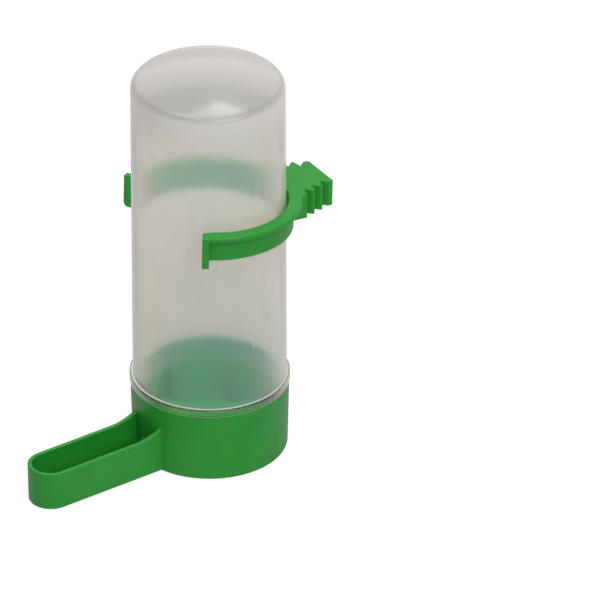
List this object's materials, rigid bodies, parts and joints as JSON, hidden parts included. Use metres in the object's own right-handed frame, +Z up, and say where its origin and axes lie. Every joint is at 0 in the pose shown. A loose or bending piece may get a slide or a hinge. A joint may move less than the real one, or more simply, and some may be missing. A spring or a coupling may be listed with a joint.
{
  "type": "clip-on cage drinker",
  "caption": "Upright reservoir bottle standing mouth down in a round cup with a long drinking trough, and an open ring clip with a toothed tab that holds it to cage wires.",
  "frame": {"origin": "middle of the round cup's underside, on the bottle's axis", "axes": "+Z up along the bottle's axis, -Y along the trough, +X to the right when the trough faces the viewer"},
  "size_m": [0.0536, 0.0997, 0.1223],
  "materials": {
    "frosted_plastic": "frosted translucent polypropylene",
    "green_plastic": "satin moulded green plastic"
  },
  "bodies": {
    "base": {"trough_base": "green_plastic"},
    "bottle": {"reservoir_bottle": "frosted_plastic"},
    "clip": {"cage_clip": "green_plastic"}
  },
  "joints": [
    {"name": "bottle_lift", "type": "slide", "parent": "base", "child": "bottle", "axis": [0, 0, 1], "range_m": [0, 0.03]},
    {"name": "clip_turn", "type": "hinge", "parent": "bottle", "child": "clip", "pos_m": [0, 0, 0.0768], "axis": [0, 0, 1], "continuous": true}
  ]
}
